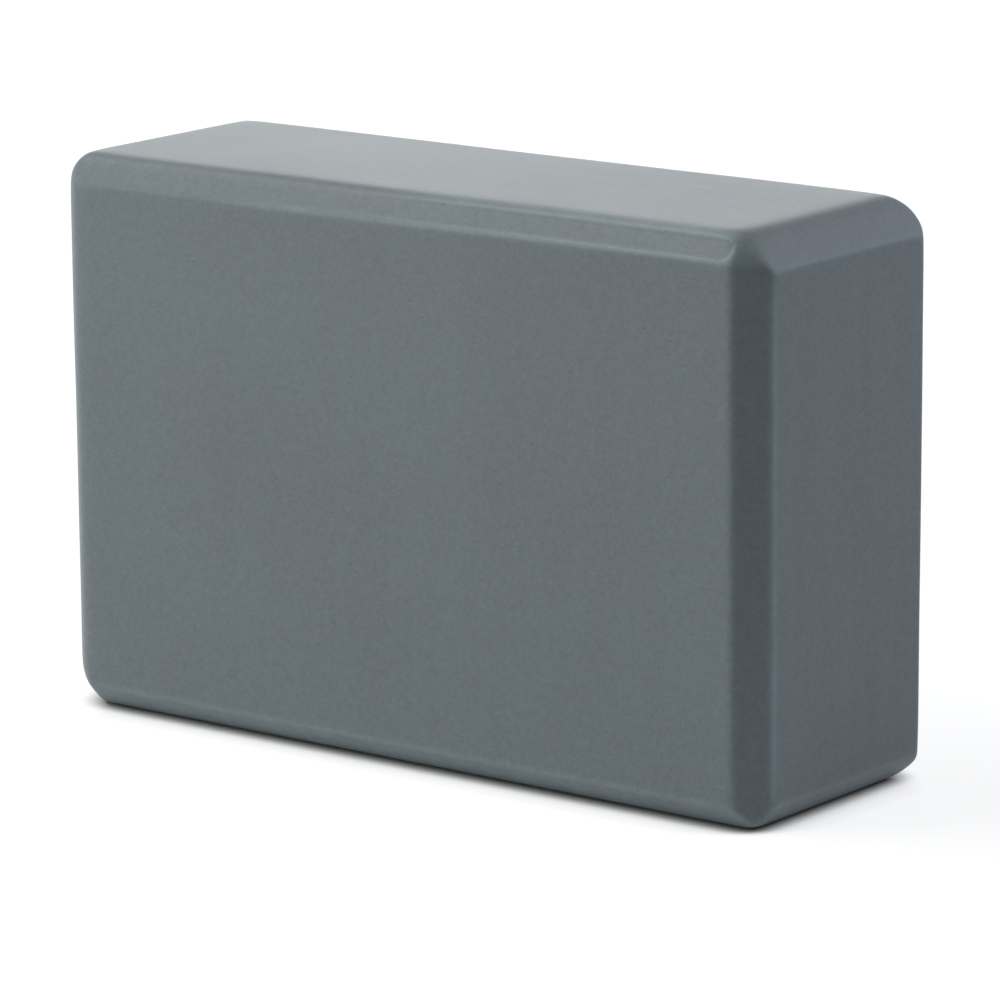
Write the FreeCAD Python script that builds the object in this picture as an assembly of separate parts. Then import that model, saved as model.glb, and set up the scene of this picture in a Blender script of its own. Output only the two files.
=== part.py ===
"""Foam yoga block, standing on its long narrow face.

Three plies of closed-cell EVA foam are bonded by two adhesive films, and every edge of the glued
block is chamfered and eased. Millimetres. X runs along the length, Y through the depth from the
front ply to the rear ply, and Z is up. The origin is the middle of the face that it stands on.
"""

import FreeCAD, Part
import math
import os

Vector = FreeCAD.Vector

# Overall size of the finished block
block_length = 230.0
block_depth = 75.0
block_height = 150.0

# Leg of the 45 degree chamfer on each family of edges, measured along the faces
long_edge_leg = 7.1
upright_edge_leg = 7.6
end_edge_leg = 9.2

# Radius that eases every edge left by the chamfers
edge_round = 2.5

# Lamination through the depth
ply_names = ("front_ply", "core_ply", "rear_ply")
film_names = ("front_glue_film", "rear_glue_film")
glue_film_thickness = 0.2


def octagon(width, height, leg):
    """Corners of a rectangle about the origin with its four corners cut at 45 degrees."""
    w, h = width / 2, height / 2
    corners = []
    for sx, sy in ((1, 1), (-1, 1), (-1, -1), (1, -1)):
        pair = [(sx * w, sy * (h - leg)), (sx * (w - leg), sy * h)]
        corners += pair if sx == sy else pair[::-1]
    return corners


def prism(corners, place, run):
    """Solid swept by a polygon: place puts a corner in space, and run is the sweep from there."""
    points = [place(u, v) for u, v in corners]
    return Part.Face(Part.makePolygon(points + points[:1])).extrude(run)


def chamfered_core():
    """The sharp chamfered block, smaller all round by the radius that rounding adds back.

    Each family of parallel edges is cut by one octagonal prism along those edges, and the block
    is what the three prisms share, so three chamfers meet in a point at every corner.
    """
    length = block_length - 2 * edge_round
    depth = block_depth - 2 * edge_round
    height = block_height - 2 * edge_round
    # A chamfer moved inwards by the radius has a leg shorter by this much
    leg_loss = edge_round * (2 - math.sqrt(2))
    along_x = prism(
        octagon(depth, height, long_edge_leg - leg_loss),
        lambda y, z: Vector(-length / 2, y, z),
        Vector(length, 0, 0),
    )
    along_y = prism(
        octagon(length, height, end_edge_leg - leg_loss),
        lambda x, z: Vector(x, -depth / 2, z),
        Vector(0, depth, 0),
    )
    along_z = prism(
        octagon(length, depth, upright_edge_leg - leg_loss),
        lambda x, y: Vector(x, y, -height / 2),
        Vector(0, 0, height),
    )
    return along_x.common(along_y).common(along_z)


def eased_block():
    """The whole block with rounded edges, standing on Z = 0."""
    block = chamfered_core().makeOffsetShape(edge_round, 1e-4, join=0)
    block.translate(Vector(0, 0, block_height / 2))
    return block


def layer(block, front, thickness):
    """The slice of the block from Y = front to Y = front + thickness."""
    slab = Part.makeBox(
        block_length, thickness, block_height, Vector(-block_length / 2, front, 0)
    )
    return block.common(slab)


def laminate(block):
    """Every ply and glue film by name, cut from the block one behind the other."""
    film_total = glue_film_thickness * len(film_names)
    ply_thickness = (block_depth - film_total) / len(ply_names)
    pitch = ply_thickness + glue_film_thickness
    pieces = {}
    for index, name in enumerate(ply_names):
        pieces[name] = layer(block, index * pitch - block_depth / 2, ply_thickness)
    for index, name in enumerate(film_names):
        behind_ply = index * pitch + ply_thickness - block_depth / 2
        pieces[name] = layer(block, behind_ply, glue_film_thickness)
    return pieces


def main():
    os.makedirs("parts", exist_ok=True)
    block = eased_block()
    pieces = laminate(block)
    for name, piece in pieces.items():
        solid = piece.Solids[0]
        solid.exportStep(os.path.join("parts", name + ".step"))
        print(f"{name}: {len(piece.Solids)} solid, {solid.Volume / 1000:.2f} cm3, valid {solid.isValid()}")
    total = sum(piece.Volume for piece in pieces.values())
    box = block.BoundBox
    print(f"block {box.XLength:.3f} x {box.YLength:.3f} x {box.ZLength:.3f} mm, {block.Volume / 1000:.2f} cm3")
    print(f"layers add up to {total / 1000:.2f} cm3")


main()
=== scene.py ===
"""Foam yoga block: three foam plies and two glue films with their real skin, on a white studio floor."""

import bpy
import itertools
import math
import numpy as np
from collections import namedtuple
from mathutils import Matrix, Vector


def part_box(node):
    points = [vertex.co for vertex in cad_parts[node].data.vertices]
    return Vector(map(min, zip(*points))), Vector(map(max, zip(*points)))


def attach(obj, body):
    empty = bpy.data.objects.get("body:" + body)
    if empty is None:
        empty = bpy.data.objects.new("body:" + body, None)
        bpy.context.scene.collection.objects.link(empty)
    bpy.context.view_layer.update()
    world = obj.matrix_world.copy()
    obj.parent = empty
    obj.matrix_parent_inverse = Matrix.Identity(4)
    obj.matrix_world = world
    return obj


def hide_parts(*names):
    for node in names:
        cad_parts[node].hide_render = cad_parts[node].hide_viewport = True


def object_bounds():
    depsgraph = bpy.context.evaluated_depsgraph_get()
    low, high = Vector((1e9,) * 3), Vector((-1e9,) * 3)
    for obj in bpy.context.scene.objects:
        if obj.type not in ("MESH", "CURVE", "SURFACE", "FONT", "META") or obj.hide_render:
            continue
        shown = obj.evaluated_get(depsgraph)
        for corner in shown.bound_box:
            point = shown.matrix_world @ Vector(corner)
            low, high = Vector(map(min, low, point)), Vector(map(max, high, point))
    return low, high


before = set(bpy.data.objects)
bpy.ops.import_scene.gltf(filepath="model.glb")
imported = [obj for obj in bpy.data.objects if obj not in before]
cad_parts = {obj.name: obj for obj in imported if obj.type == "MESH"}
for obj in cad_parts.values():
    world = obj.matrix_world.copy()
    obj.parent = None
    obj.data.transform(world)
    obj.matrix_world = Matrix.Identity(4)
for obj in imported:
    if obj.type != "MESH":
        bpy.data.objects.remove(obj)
cad_low, cad_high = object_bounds()

MM = 0.001

# Block as the frame holds it: centre and half sizes
centre = np.array((cad_low + cad_high) / 2)
half = np.array((cad_high - cad_low) / 2)

# Faces of the block: the axis that each one is square to, and its side
face_side = {
    "right": (0, 1),
    "left": (0, -1),
    "rear": (1, 1),
    "front": (1, -1),
    "top": (2, 1),
    "base": (2, -1),
}

# Chamfers as they were cut by hand, each between two faces, in millimetres: how far the cut reaches
# onto each face, the softness of its edge with each face, and how pale each of those edges is. The
# paleness is partly abrasion and partly a painted highlight where the edge catches the light; the
# largest values, on the edge between the front right chamfer and the right end and on the upper edges
# of the chamfers at the base, are mostly painted highlight
Chamfer = namedtuple("Chamfer", "reach softness wear")
chamfers = {
    ("front", "top"): Chamfer((7.4, 4.5), (0.20, 1.10), (0.05, 0.10)),
    ("rear", "top"): Chamfer((3.5, 4.0), (0.40, 0.60), (0.15, 0.05)),
    ("right", "top"): Chamfer((9.6, 8.2), (0.20, 1.20), (0.20, 0.05)),
    ("left", "top"): Chamfer((8.2, 9.5), (1.35, 0.50), (0.15, 0.05)),
    ("front", "right"): Chamfer((7.7, 7.3), (0.40, 0.30), (0.05, 2.40)),
    ("front", "left"): Chamfer((9.3, 9.5), (1.00, 0.80), (0.05, 0.10)),
    ("rear", "right"): Chamfer((3.0, 3.5), (0.50, 0.15), (0.10, 0.15)),
    ("rear", "left"): Chamfer((7.3, 7.3), (0.50, 0.50), (0.15, 0.15)),
    ("front", "base"): Chamfer((6.6, 7.2), (0.45, 0.40), (1.20, 0.05)),
    ("rear", "base"): Chamfer((7.1, 7.1), (0.45, 0.40), (0.80, 0.05)),
    ("right", "base"): Chamfer((6.2, 6.3), (0.60, 0.40), (1.00, 0.05)),
    ("left", "base"): Chamfer((8.0, 8.0), (0.70, 0.50), (0.30, 0.05)),
}

# Distance over which the softness of one edge gives way to the next
softness_blend = 2.0 * MM

# Corners that were cut as well: how far the cut would reach along each of the three edges, in
# millimetres, and how pale it is: partly abrasion, and at the front right corner of the top mostly a
# painted highlight where the facet catches the light
CornerCut = namedtuple("CornerCut", "reach wear")
corner_cuts = {
    ("front", "right", "top"): CornerCut(14.4, 0.90),
    ("front", "left", "top"): CornerCut(13.1, 0.05),
    ("front", "left", "base"): CornerCut(17.0, 0.05),
}

# Softness, in millimetres, and paleness of the lines in which two chamfers meet at a corner, the
# paleness partly abrasion and partly a painted highlight on the ridge. They are softer at the top than
# at the base.
top_corner_softness = 1.0
base_corner_softness = 0.6
corner_wear_and_highlight = 0.4

# The front-top chamfer's reach onto the front narrows to the right by this much between these places
front_top_taper = 0.7 * MM
front_top_taper_places = (-50.0 * MM, 100.0 * MM)

# The rear right chamfer narrows upwards by this much on each face
rear_right_taper = 1.5 * MM

# Second cut along the front-top chamfer: it sinks, starts again at a step, and sinks on towards the right
recut_places = (-58.0 * MM, -26.4 * MM, -25.8 * MM, 72.0 * MM)
recut_depths = (0.0, 0.28 * MM, 0.12 * MM, 0.5 * MM)
recut_end = 107.2 * MM
recut_corner = 4.0 * MM
lip_width = 1.9 * MM

# Strip left along the top of that cut, and the places between which it comes in
strip_width = 1.3 * MM
strip_fade = 0.6 * MM
strip_places = (-20.0 * MM, 25.0 * MM)

# How pale the lip and the strip are, partly abrasion and partly a painted highlight along the lip, and
# how much paler the cut between them is
lip_wear_and_highlight = 1.9
recut_wear = 0.28

# Roundness of the chamfers at the base: how far the middle stands out
base_bulge = {("front", "base"): 0.9 * MM, ("right", "base"): 0.7 * MM}

# How much paler those chamfers are painted beside the upright face, fading down to the base: painted
# light standing for the light thrown up from the floor, darker towards the contact
base_painted_light = 0.55

# Width of the pale line along every edge, partly abrasion from handling and partly a painted highlight
rim_width = 0.8 * MM

# Widths over which the paleness of the second cut and its lip, partly abrasion and partly painted
# highlight, fades beside it, on the top and on the front
recut_fade_top = 2.0 * rim_width
recut_fade_front = 0.6 * rim_width

# Largest exponent in the step from a face to a chamfer
step_limit = 30

# Skin grid: a fine band beside each edge of the block and wider steps between the bands
edge_band = 14.0 * MM
fine_step = 0.5 * MM
wide_step = 1.0 * MM

# Grid points that fall in one cell of this size are one point, and a point this close to a cut is on it
weld_size = 0.001 * MM
on_cut_distance = 0.01 * MM

# Search for the skin along a ray: its far end as a share of the ray, and how often the step is halved
ray_end = 1.02
ray_halvings = 22

# Slow unevenness of the sawn faces: its height, its length, the height over which it fades out above
# the face that the block stands on, the number and seed of its waves, and how far their lengths differ
wave_height = 0.05 * MM
wave_length = 70.0 * MM
wave_fade = 15.0 * MM
wave_count = 12
wave_seed = 4
wave_spread = (0.6, 1.6)


def stations(low, high, low_band=True, high_band=True):
    """Positions from low to high: fine steps inside a band at each chamfered end, wide steps between."""
    start = low + edge_band if low_band else low
    stop = high - edge_band if high_band else high
    parts = [np.linspace(start, stop, max(2, round((stop - start) / wide_step) + 1))]
    band_count = round(edge_band / fine_step) + 1
    if low_band:
        parts.insert(0, np.linspace(low, start, band_count)[:-1])
    if high_band:
        parts.append(np.linspace(stop, high, band_count)[1:])
    return np.concatenate(parts)


def smooth_step(values):
    """The cubic 3t^2 - 2t^3 of the values held between 0 and 1."""
    t = np.clip(values, 0, 1)
    return t * t * (3 - 2 * t)


def bell(gap, width):
    """1 where the gap is 0, falling off on both sides over the width."""
    return np.exp(-((gap / width) ** 2))


def waves(points, length, count, seed):
    """Smooth unevenness: the sum of count cosines along seeded directions, with unit variance."""
    draw = np.random.default_rng(seed)
    heading = draw.normal(size=(3, count))
    heading *= 2 * math.pi / (length * np.linalg.norm(heading, axis=0))
    heading *= draw.uniform(*wave_spread, count)
    phase = draw.uniform(0, 2 * math.pi, count)
    return np.cos(points @ heading + phase).sum(axis=1) * math.sqrt(2 / count)


def recut(points, front_depth):
    """Depth of the second cut below the front-top chamfer, and how much of its lip is left, from 0 to 1.

    The depth follows the places along the length. The cut leaves a lip along the chamfer's front edge
    and at the right end, round a corner of the given radius, and a strip along the top.
    """
    depth = np.interp(points[:, 0], recut_places, recut_depths)
    reach_on_front, reach_on_top = (reach * MM for reach in chamfers["front", "top"].reach)
    width = math.hypot(reach_on_front, reach_on_top)
    from_edge = front_depth * width / reach_on_top
    to_end = recut_end - points[:, 0]
    corner = np.hypot(np.maximum(recut_corner - from_edge, 0), np.maximum(recut_corner - to_end, 0))
    panel = smooth_step((recut_corner - corner) / lip_width)
    strip = smooth_step((points[:, 0] - strip_places[0]) / (strip_places[1] - strip_places[0]))
    on_strip = smooth_step((from_edge - width + strip_width + strip_fade) / strip_fade)
    panel = panel * (1 - strip * on_strip)
    return depth * panel, (1 - panel) * depth / max(recut_depths)


def recut_finish(points, over_faces, over_chamfer, highest):
    """Paleness of the second cut and its lip, which fades beside the chamfer: on the lip partly abrasion
    and partly a painted highlight.
    """
    _, lip = recut(points, -over_faces["front"])
    towards_top = over_faces["top"] > over_faces["front"]
    fade_width = np.where(towards_top, recut_fade_top, recut_fade_front)
    return (recut_wear + lip_wear_and_highlight * lip) * bell(highest - over_chamfer, fade_width)


def cut_heights(points):
    """Height of each point over every face and over every chamfer and corner cut, as two dictionaries.

    With a and b the depths below two faces, a chamfer that reaches r onto the first and s onto the
    second has the height (1 - a / s - b / r) / |(1 / s, 1 / r)|. A corner cut of reach r between three
    faces has the height (r - a - b - c) / sqrt(3).
    """
    p = points - centre
    depth = {name: half[axis] - side * p[:, axis] for name, (axis, side) in face_side.items()}
    over_faces = {name: -value for name, value in depth.items()}
    over_chamfers = {}
    for (first, second), chamfer in chamfers.items():
        r, s = (reach * MM for reach in chamfer.reach)
        if (first, second) == ("rear", "right"):
            narrowing = rear_right_taper * (p[:, 2] / (2 * half[2]))
            r, s = r - narrowing, s - narrowing
        if (first, second) == ("front", "top"):
            start, stop = front_top_taper_places
            r = r - front_top_taper * smooth_step((p[:, 0] - start) / (stop - start))
        height = (1 - depth[first] / s - depth[second] / r) / np.hypot(1 / s, 1 / r)
        if (first, second) in base_bulge:
            along = np.clip(depth[first] / s, 0, 1)
            height = height - base_bulge[first, second] * 4 * along * (1 - along)
        if (first, second) == ("front", "top"):
            height = height + recut(points, depth[first])[0]
        over_chamfers[first, second] = height
    for faces, cut in corner_cuts.items():
        over_chamfers[faces] = (cut.reach * MM - sum(depth[name] for name in faces)) / math.sqrt(3)
    return over_faces, over_chamfers


def corner_lines():
    """Pairs of chamfers that meet at a corner: they share one face and run in different directions."""
    pairs = []
    for one, other in itertools.combinations(chamfers, 2):
        apart = set(one) ^ set(other)
        if len(apart) == 2 and len({face_side[name][0] for name in apart}) == 2:
            pairs.append((one, other))
    return pairs


def near_edges(over_faces, over_chamfers):
    """Softness and edge paleness, partly abrasion and partly painted highlight, at every point: a soft
    choice of the line whose two planes lie highest.

    The lines are the two edges of every chamfer and the corner lines between chamfers.
    """
    totals, softness, wear = [], [], []
    for faces, chamfer in chamfers.items():
        for which in (0, 1):
            totals.append(over_chamfers[faces] + over_faces[faces[which]])
            softness.append(chamfer.softness[which])
            wear.append(chamfer.wear[which])
    for one, other in corner_lines():
        totals.append(over_chamfers[one] + over_chamfers[other])
        at_top = "top" in one + other
        softness.append(top_corner_softness if at_top else base_corner_softness)
        wear.append(corner_wear_and_highlight)
    totals = np.stack(totals)
    share = np.exp((totals - totals.max(axis=0)) / softness_blend)
    share /= share.sum(axis=0)
    return np.array(softness) @ share * MM, np.array(wear) @ share


def skin_height(points):
    """Height over the eased skin: the smooth maximum k log(sum(exp(g / k))) of all the plane heights g.

    The softness k is the mix of the softnesses of the edges close by.
    """
    over_faces, over_chamfers = cut_heights(points)
    k, _ = near_edges(over_faces, over_chamfers)
    heights = np.stack(list(over_faces.values()) + list(over_chamfers.values()))
    top = heights.max(axis=0)
    spread = np.exp((heights - top) / k).sum(axis=0)
    lift = smooth_step((points[:, 2] - cad_low[2]) / wave_fade)
    uneven = wave_height * lift * (1 + np.tanh(waves(points, wave_length, wave_count, wave_seed)))
    return top + k * np.log(spread) + uneven


def skin_points(box_points):
    """Box points drawn in to the skin along rays from the nearest point of an inner core box.

    With q the box point p held inside the core, the result is q + s (p - q), where s is found by
    halving the step on which the skin height changes sign.
    """
    core = half - edge_band
    inner = centre + np.clip(box_points - centre, -core, core)
    ray = box_points - inner
    low = np.zeros(len(box_points))
    high = np.full(len(box_points), ray_end)
    for _ in range(ray_halvings):
        middle = (low + high) / 2
        outside = skin_height(inner + ray * middle[:, None]) > 0
        high = np.where(outside, middle, high)
        low = np.where(outside, low, middle)
    return inner + ray * low[:, None]


def patch(axis, level, first, second, outward):
    """Grid of box points on the plane axis = level, and its quads wound to face along outward."""
    a, b = np.meshgrid(first, second, indexing="ij")
    grid = np.empty(a.shape + (3,))
    others = [other for other in range(3) if other != axis]
    grid[..., axis] = level
    grid[..., others[0]] = a
    grid[..., others[1]] = b
    index = np.arange(a.size).reshape(a.shape)
    corners = [index[:-1, :-1], index[1:, :-1], index[1:, 1:], index[:-1, 1:]]
    quads = np.stack(corners, axis=-1).reshape(-1, 4)
    turns_right = (others[1] - others[0]) == 1
    if (outward > 0) != turns_right:
        quads = quads[:, ::-1]
    return grid.reshape(-1, 3), quads


def layer_mesh(name, front, back, front_is_face, back_is_face):
    """Closed mesh of the slice of the block from Y = front to Y = back.

    The skin is a set of grids on the block's faces drawn in to the chamfered form. A cut that is
    glued to a neighbour is one flat face with a sharp border.
    """
    low, high = centre - half, centre + half
    xs = stations(low[0], high[0])
    ys = stations(front, back, front_is_face, back_is_face)
    zs = stations(low[2], high[2])
    patches = [
        patch(0, low[0], ys, zs, -1),
        patch(0, high[0], ys, zs, 1),
        patch(2, low[2], xs, ys, -1),
        patch(2, high[2], xs, ys, 1),
    ]
    if front_is_face:
        patches.append(patch(1, front, xs, zs, -1))
    if back_is_face:
        patches.append(patch(1, back, xs, zs, 1))
    starts = np.cumsum([0] + [len(points) for points, _ in patches])
    points = np.concatenate([points for points, _ in patches])
    quads = np.concatenate([quads + start for (_, quads), start in zip(patches, starts)])
    cells = np.round(points / weld_size)
    _, keep, shared = np.unique(cells, axis=0, return_index=True, return_inverse=True)
    box_points = points[keep]
    faces = shared.reshape(-1)[quads].tolist()
    cut_of_point = np.zeros(len(box_points), int)
    slice_ends = ((front, front_is_face, -1), (back, back_is_face, 1))
    for cut, (level, is_face, outward) in enumerate(slice_ends, 1):
        if not is_face:
            on_cut = np.abs(box_points[:, 1] - level) < on_cut_distance
            cut_of_point[on_cut] = cut
            faces.append(cut_loop(box_points, np.nonzero(on_cut)[0], outward))
    mesh = bpy.data.meshes.new(name)
    skin = skin_points(box_points)
    mesh.from_pydata(skin, [], faces)
    mesh.shade_smooth()
    ends = np.empty(len(mesh.edges) * 2, np.int32)
    mesh.edges.foreach_get("vertices", ends)
    ends = cut_of_point[ends.reshape(-1, 2)]
    border = (ends[:, 0] == ends[:, 1]) & (ends[:, 0] > 0)
    mesh.attributes.new("sharp_edge", "BOOLEAN", "EDGE").data.foreach_set("value", border)
    store_finish(mesh, skin)
    mesh.validate()
    return mesh


def cut_loop(box_points, on_cut, outward):
    """Indices of the points on one cut, in order round the cut, wound to face along outward."""
    z, x = ((box_points[on_cut] - centre)[:, [2, 0]] / half[[2, 0]]).T
    order = on_cut[np.argsort(np.arctan2(z, x))]
    return (order if outward < 0 else order[::-1]).tolist()


def store_finish(mesh, points):
    """Point values for the finish: rim is the paleness of the edges, and routed is 1 on the chamfers.

    The paleness is the greatest of that on the edge lines, the cut corners, the rounded chamfers at the
    base and the second cut. It is partly abrasion and partly painted light: a painted highlight along the
    edges, the lip and the front right corner of the top, and painted light from the floor on the rounded
    chamfers at the base.
    """
    over_faces, over_chamfers = cut_heights(points)
    _, wear = near_edges(over_faces, over_chamfers)
    faces = np.stack(list(over_faces.values()))
    cuts = np.stack(list(over_chamfers.values()))
    next_highest, highest = np.sort(np.concatenate([faces, cuts]), axis=0)[-2:]
    rim = wear * bell(highest - next_highest, rim_width)
    # Painted highlight on the cut corner at the front right of the top, and abrasion on the others
    for corner, cut in corner_cuts.items():
        rim = np.maximum(rim, cut.wear * bell(highest - over_chamfers[corner], rim_width))
    # Painted light from the floor: the rounded base chamfers are paler beside the upright face and darker
    # towards the contact
    for paled in base_bulge:
        upper = np.clip(1 + over_faces[paled[0]] / (chamfers[paled].reach[1] * MM), 0, 1)
        rim = np.maximum(rim, base_painted_light * upper * bell(highest - over_chamfers[paled], rim_width))
    rim = np.maximum(rim, recut_finish(points, over_faces, over_chamfers["front", "top"], highest))
    lead = (cuts.max(axis=0) - faces.max(axis=0)) / rim_width
    routed = 1 / (1 + np.exp(-np.clip(lead, -step_limit, step_limit)))
    for name, values in (("rim", rim), ("routed", routed)):
        mesh.attributes.new(name, "FLOAT", "POINT").data.foreach_set("value", values.astype(np.float32))


# Foam finish: greys of the foam and of the glue lines
foam_grey = (0.153, 0.190, 0.205)
film_grey = (0.150, 0.187, 0.202)

# Sizes of the slow clouding, the fine grain, the routed grain, the patches in the pale edges, the
# streaks and the brush marks, and the octaves of noise in them
cloud_size = 55.0 * MM
grain_size = 0.9 * MM
routed_grain_size = 2.2 * MM
pale_edge_patch_size = 7.0 * MM
streak_size = (7.0 * MM, 60.0 * MM, 260.0 * MM)
brush_size = (60.0 * MM, 6.0 * MM, 60.0 * MM)
fine_octaves = 3.0
cloud_octaves = 2.0
streak_octaves = 1.0

# Pores: the share of cells that hold one, and the shares of its radius between which its edge fades
pore_spacing = 3.4 * MM
pore_radius = 0.4 * MM
pore_share = 0.3
pore_edge = (0.5, 1.2)

# How much each part of the finish adds to the tone
cloud_tone = 0.10
grain_tone = 0.50
streak_tone = 0.06
brush_tone = 0.15
# The pale edges are partly abrasion and partly painted highlight and painted floor light
wear_and_highlight_tone = 0.35
# Pores are painted darker: painted shade in the pits
pore_shade_tone = -0.16
uneven_tone = 0.25
routed_tone = 0.20

# How much the paleness of the edges, partly abrasion and partly painted light, differs from place to place
pale_edge_variation = 0.8

# Roughness, and how much it differs with the grain and the clouding
foam_roughness = 0.5
grain_roughness = 0.10
cloud_roughness = 0.08

# Relief in millimetres
grain_relief = 0.05
routed_relief = 0.08
pore_relief = -0.06

# Scuffs on the right end, in millimetres: circles of a given centre and radius in Y and Z, each shown
# within reach of a middle point and fading out from the core share of that reach
Scuff = namedtuple("Scuff", "centre radius middle reach strength")
scuffs = (
    Scuff((14.0, 148.0), 16.0, (4.0, 135.6), 11.0, 0.07),
    Scuff((1.0, 146.0), 24.0, (12.0, 124.6), 8.0, 0.06),
    Scuff((16.0, 120.0), 21.0, (9.0, 139.8), 7.0, 0.05),
)
scuff_width = 0.9 * MM
scuff_core = 0.2


def add_node(tree, kind, inputs, **settings):
    """New shader node: settings are its properties, and inputs are values or linked outputs by socket."""
    node = tree.nodes.new("ShaderNode" + kind)
    for name, value in settings.items():
        setattr(node, name, value)
    for socket, value in inputs.items():
        if isinstance(value, bpy.types.NodeSocket):
            tree.links.new(value, node.inputs[socket])
        else:
            node.inputs[socket].default_value = value
    return node


def arithmetic(tree, operation, *values):
    """Output of one Math node."""
    return add_node(tree, "Math", dict(enumerate(values)), operation=operation).outputs[0]


def noise(tree, place, size, octaves):
    """Noise about 0.5 with features of that size."""
    inputs = {"Vector": place, "Scale": 1 / size, "Detail": octaves}
    return add_node(tree, "TexNoise", inputs).outputs["Fac"]


def stretched_noise(tree, place, sizes):
    """Noise about 0.5 with features of those sizes along the three axes."""
    scale = tuple(1 / size for size in sizes)
    stretched = add_node(tree, "Mapping", {"Vector": place, "Scale": scale}).outputs["Vector"]
    return noise(tree, stretched, 1.0, streak_octaves)


def fade(tree, value, start, stop):
    """1 up to start, falling smoothly to 0 at stop."""
    ends = {"Value": value, "From Min": start, "From Max": stop, "To Min": 1.0, "To Max": 0.0}
    return add_node(tree, "MapRange", ends, interpolation_type="SMOOTHSTEP").outputs["Result"]


def added(tree, total, terms):
    """Total plus the sum of amount x value over the terms."""
    for value, amount in terms:
        total = arithmetic(tree, "MULTIPLY_ADD", value, amount, total)
    return total


def varied(tree, level, terms):
    """Level plus the sum of amount x (value - 0.5) over the terms."""
    return added(tree, level - sum(amount for _, amount in terms) / 2, terms)


def pores(tree, place):
    """1 inside a small share of round pores strewn through the foam."""
    cells = add_node(tree, "TexVoronoi", {"Vector": place, "Scale": 1 / pore_spacing})
    radius = pore_radius / pore_spacing
    hole = fade(tree, cells.outputs["Distance"], pore_edge[0] * radius, pore_edge[1] * radius)
    chosen = arithmetic(tree, "LESS_THAN", cells.outputs["Color"], pore_share)
    return arithmetic(tree, "MULTIPLY", hole, chosen)


def distance(tree, place, point):
    """Distance of the place from a point given in millimetres."""
    ends = {0: place, 1: tuple(np.array(point) * MM)}
    return add_node(tree, "VectorMath", ends, operation="DISTANCE").outputs["Value"]


def scuff_marks(tree, place):
    """Pale arcs on the right end: near a circle about each centre, and near its middle point."""
    end_plane = (centre[0] + half[0]) / MM
    total = 0.0
    for scuff in scuffs:
        ring = distance(tree, place, (end_plane, *scuff.centre))
        spot = distance(tree, place, (end_plane, *scuff.middle))
        off_line = arithmetic(tree, "ABSOLUTE", arithmetic(tree, "SUBTRACT", ring, scuff.radius * MM))
        line = fade(tree, off_line, 0.0, scuff_width)
        shown = fade(tree, spot, scuff_core * scuff.reach * MM, scuff.reach * MM)
        total = added(tree, total, ((arithmetic(tree, "MULTIPLY", line, shown), scuff.strength),))
    return total


def foam_material(name, grey):
    """Satin closed-cell foam: clouded grey with fine grain, streaks and pores darkened with painted shade,
    and paler edges that are partly abraded and partly painted highlights and painted light from the floor.
    """
    material = bpy.data.materials.new(name)
    material.use_nodes = True
    tree = material.node_tree
    shader = tree.nodes["Principled BSDF"]
    place = add_node(tree, "TexCoord", {}).outputs["Object"]
    rim, routed = (
        add_node(tree, "Attribute", {}, attribute_name=kind).outputs["Fac"] for kind in ("rim", "routed")
    )
    streak, brush = (stretched_noise(tree, place, sizes) for sizes in (streak_size, brush_size))
    cloud = noise(tree, place, cloud_size, cloud_octaves)
    grain = noise(tree, place, grain_size, fine_octaves)
    uneven = arithmetic(tree, "SUBTRACT", noise(tree, place, routed_grain_size, fine_octaves), 0.5)
    rough_grain = arithmetic(tree, "MULTIPLY", uneven, routed)
    pore = pores(tree, place)
    patchy = varied(tree, 1.0, ((noise(tree, place, pale_edge_patch_size, fine_octaves), pale_edge_variation),))
    # Painted highlight and painted floor light, with some abrasion: the edges are made paler
    paled = arithmetic(tree, "MULTIPLY", rim, patchy)

    body = ((cloud, cloud_tone), (grain, grain_tone), (streak, streak_tone), (brush, brush_tone))
    marks = ((paled, wear_and_highlight_tone), (pore, pore_shade_tone), (uneven, uneven_tone), (rough_grain, routed_tone))
    tone = added(tree, varied(tree, 1.0, body), marks)
    tone = arithmetic(tree, "ADD", tone, scuff_marks(tree, place))
    colour = add_node(tree, "VectorMath", {0: grey, "Scale": tone}, operation="SCALE").outputs["Vector"]
    tree.links.new(colour, shader.inputs["Base Color"])
    roughness = varied(tree, foam_roughness, ((grain, grain_roughness), (cloud, cloud_roughness)))
    tree.links.new(roughness, shader.inputs["Roughness"])

    relief = varied(tree, 0.0, ((grain, grain_relief),))
    relief = added(tree, relief, ((rough_grain, routed_relief), (pore, pore_relief)))
    bump = add_node(tree, "Bump", {"Height": relief, "Distance": MM, "Strength": 1.0})
    tree.links.new(bump.outputs["Normal"], shader.inputs["Normal"])
    return material


def add_object(name, data):
    """New object with that data, put into the scene."""
    made = bpy.data.objects.new(name, data)
    bpy.context.scene.collection.objects.link(made)
    return made


def add_layers(foam, film):
    """Every ply and film as its own piece in the place of its CAD node."""
    edges = {name: (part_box(name)[0].y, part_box(name)[1].y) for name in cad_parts}
    face_front = min(low for low, _ in edges.values())
    face_back = max(high for _, high in edges.values())
    for node, (front, back) in sorted(edges.items()):
        is_film = "film" in node
        mesh = layer_mesh(node + "_skin", front, back, front == face_front, back == face_back)
        mesh.materials.append(film if is_film else foam)
        piece = add_object(node.replace("_ply", "_foam").replace("_film", "_line"), mesh)
        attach(piece, "root")
        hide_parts(node)


# Camera: heading round the block from its front, tilt, roll, distance and framing as in the photograph
view_heading = math.radians(38.027)
view_tilt = math.radians(12.676)
view_roll = math.radians(-0.547)
view_distance = 1531.9 * MM
view_offset_right = 5.43 * MM
view_offset_up = -11.01 * MM
focal_in_widths = 5.912
sensor_width = 36.0
view_end = 50.0


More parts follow.
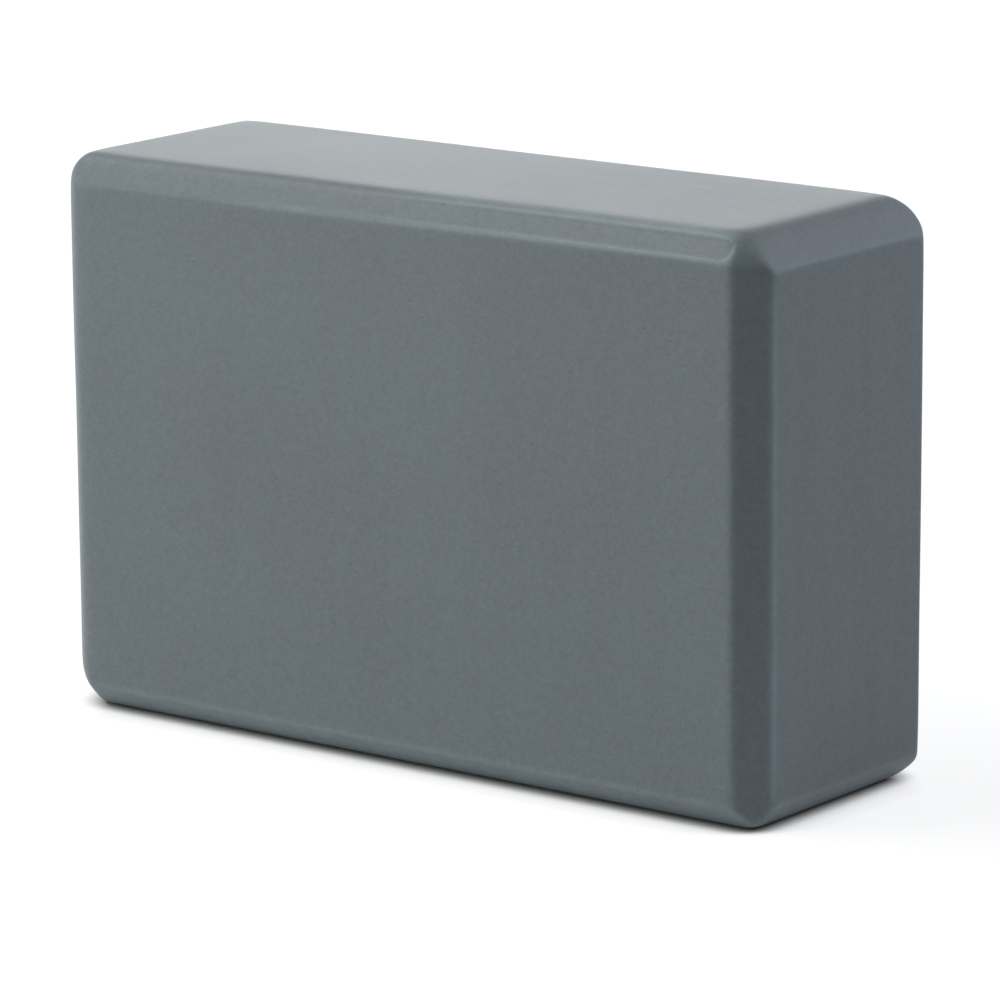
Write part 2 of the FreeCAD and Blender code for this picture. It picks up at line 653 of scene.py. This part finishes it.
def direction(heading, tilt):
    """Unit vector from the block at a heading, counted from its front, and a tilt above level."""
    return Vector((
        math.sin(heading) * math.cos(tilt),
        -math.cos(heading) * math.cos(tilt),
        math.sin(tilt),
    ))


def add_camera():
    """Camera on the ray of the heading and tilt through the block's centre, moved sideways for framing."""
    data = bpy.data.cameras.new("camera")
    data.sensor_width = sensor_width
    data.lens = sensor_width * focal_in_widths
    data.clip_end = view_end
    back = direction(view_heading, view_tilt)
    level_right = Vector((math.cos(view_heading), math.sin(view_heading), 0.0))
    level_up = back.cross(level_right)
    right = level_right * math.cos(view_roll) + level_up * math.sin(view_roll)
    up = level_up * math.cos(view_roll) - level_right * math.sin(view_roll)
    turn = Matrix((right, up, back)).transposed().to_4x4()
    place = Vector(centre) + right * view_offset_right + up * view_offset_up + back * view_distance
    camera = add_object("camera", data)
    camera.matrix_world = Matrix.Translation(place) @ turn
    bpy.context.scene.camera = camera


# Square lamps of one size at one distance: heading from the front, tilt, power and colour
lamp_distance = 1.6
lamp_size = 1.0
lamps = {
    "left_front_light": (320, 10, 9.3, (1.0, 1.0, 1.0)),
    "left_high_light": (300, 55, 12.1, (1.0, 1.0, 1.0)),
    "left_back_light": (220, 10, 5.9, (1.0, 1.0, 1.0)),
    "right_back_light": (140, 30, 8.5, (0.80, 0.86, 1.0)),
}

# White floor: its half size, how far it lies below the block so that the two faces stay apart, the share
# of white that is seen by itself, and its grey where it is lit or seen. The white fades beside the
# block, where little of the sky within the contact reach is open: a painted contact shadow.
pure_white = (1, 1, 1, 1)
floor_reach = 3.0
floor_drop = 0.1 * MM
floor_white = 0.85
floor_grey_lit = 0.95
floor_grey_seen = 0.35
floor_roughness = 0.9
contact_reach = 20.0 * MM
contact_open = (0.20, 0.62)
contact_samples = 8


def add_area_light(name, heading, tilt, power, colour):
    """Square lamp seen from the block at that heading and tilt, in degrees, and aimed at the block."""
    data = bpy.data.lights.new(name, "AREA")
    data.shape = "SQUARE"
    data.size = lamp_size
    data.energy = power
    data.color = colour
    towards = direction(math.radians(heading), math.radians(tilt))
    aim = towards.to_track_quat("Z", "Y").to_matrix().to_4x4()
    lamp = add_object(name, data)
    lamp.matrix_world = Matrix.Translation(Vector(centre) + towards * lamp_distance) @ aim


def seen(tree):
    """Output that is 1 for rays from the camera, a gloss or a glass, and 0 for all others."""
    path = add_node(tree, "LightPath", {}).outputs
    direct = arithmetic(tree, "MAXIMUM", path["Is Camera Ray"], path["Is Glossy Ray"])
    return arithmetic(tree, "MAXIMUM", direct, path["Is Transmission Ray"])


def add_floor():
    """Floor that lights the block as white paper would, and is seen white with the block's shadow on it."""
    mesh = bpy.data.meshes.new("floor")
    sides = ((-1, -1), (1, -1), (1, 1), (-1, 1))
    corners = [(x * floor_reach, y * floor_reach, -floor_drop) for x, y in sides]
    mesh.from_pydata(corners, [], [(0, 1, 2, 3)])
    floor = add_object("floor", mesh)
    material = bpy.data.materials.new("white_floor")
    material.use_nodes = True
    material.cycles.emission_sampling = "NONE"
    tree = material.node_tree
    shader = tree.nodes["Principled BSDF"]
    shader.inputs["Roughness"].default_value = floor_roughness
    shader.inputs["Specular IOR Level"].default_value = 0.0
    shader.inputs["Emission Color"].default_value = pure_white
    is_seen = seen(tree)
    greys = {"Value": is_seen, "To Min": floor_grey_lit, "To Max": floor_grey_seen}
    tree.links.new(add_node(tree, "MapRange", greys).outputs["Result"], shader.inputs["Base Color"])
    # Painted contact shadow: the white that the floor gives off for the camera fades where the block closes
    # off the sky nearby
    nearby = {"Distance": contact_reach}
    sky = add_node(tree, "AmbientOcclusion", nearby, samples=contact_samples).outputs["AO"]
    start, stop = contact_open
    whites = {"Value": sky, "From Min": start, "From Max": stop, "To Max": floor_white}
    white = add_node(tree, "MapRange", whites).outputs["Result"]
    tree.links.new(arithmetic(tree, "MULTIPLY", is_seen, white), shader.inputs["Emission Strength"])
    mesh.materials.append(material)


def add_stage():
    """White world that is seen but gives no light, the floor, and the lamps."""
    world = bpy.data.worlds.new("studio")
    world.use_nodes = True
    bpy.context.scene.world = world
    tree = world.node_tree
    shade = tree.nodes["Background"]
    shade.inputs["Color"].default_value = pure_white
    tree.links.new(seen(tree), shade.inputs["Strength"])
    add_floor()
    for name, values in lamps.items():
        add_area_light(name, *values)


add_layers(foam_material("grey_foam", foam_grey), foam_material("glue_line", film_grey))
add_camera()
add_stage()
bpy.context.scene.view_settings.view_transform = "Standard"
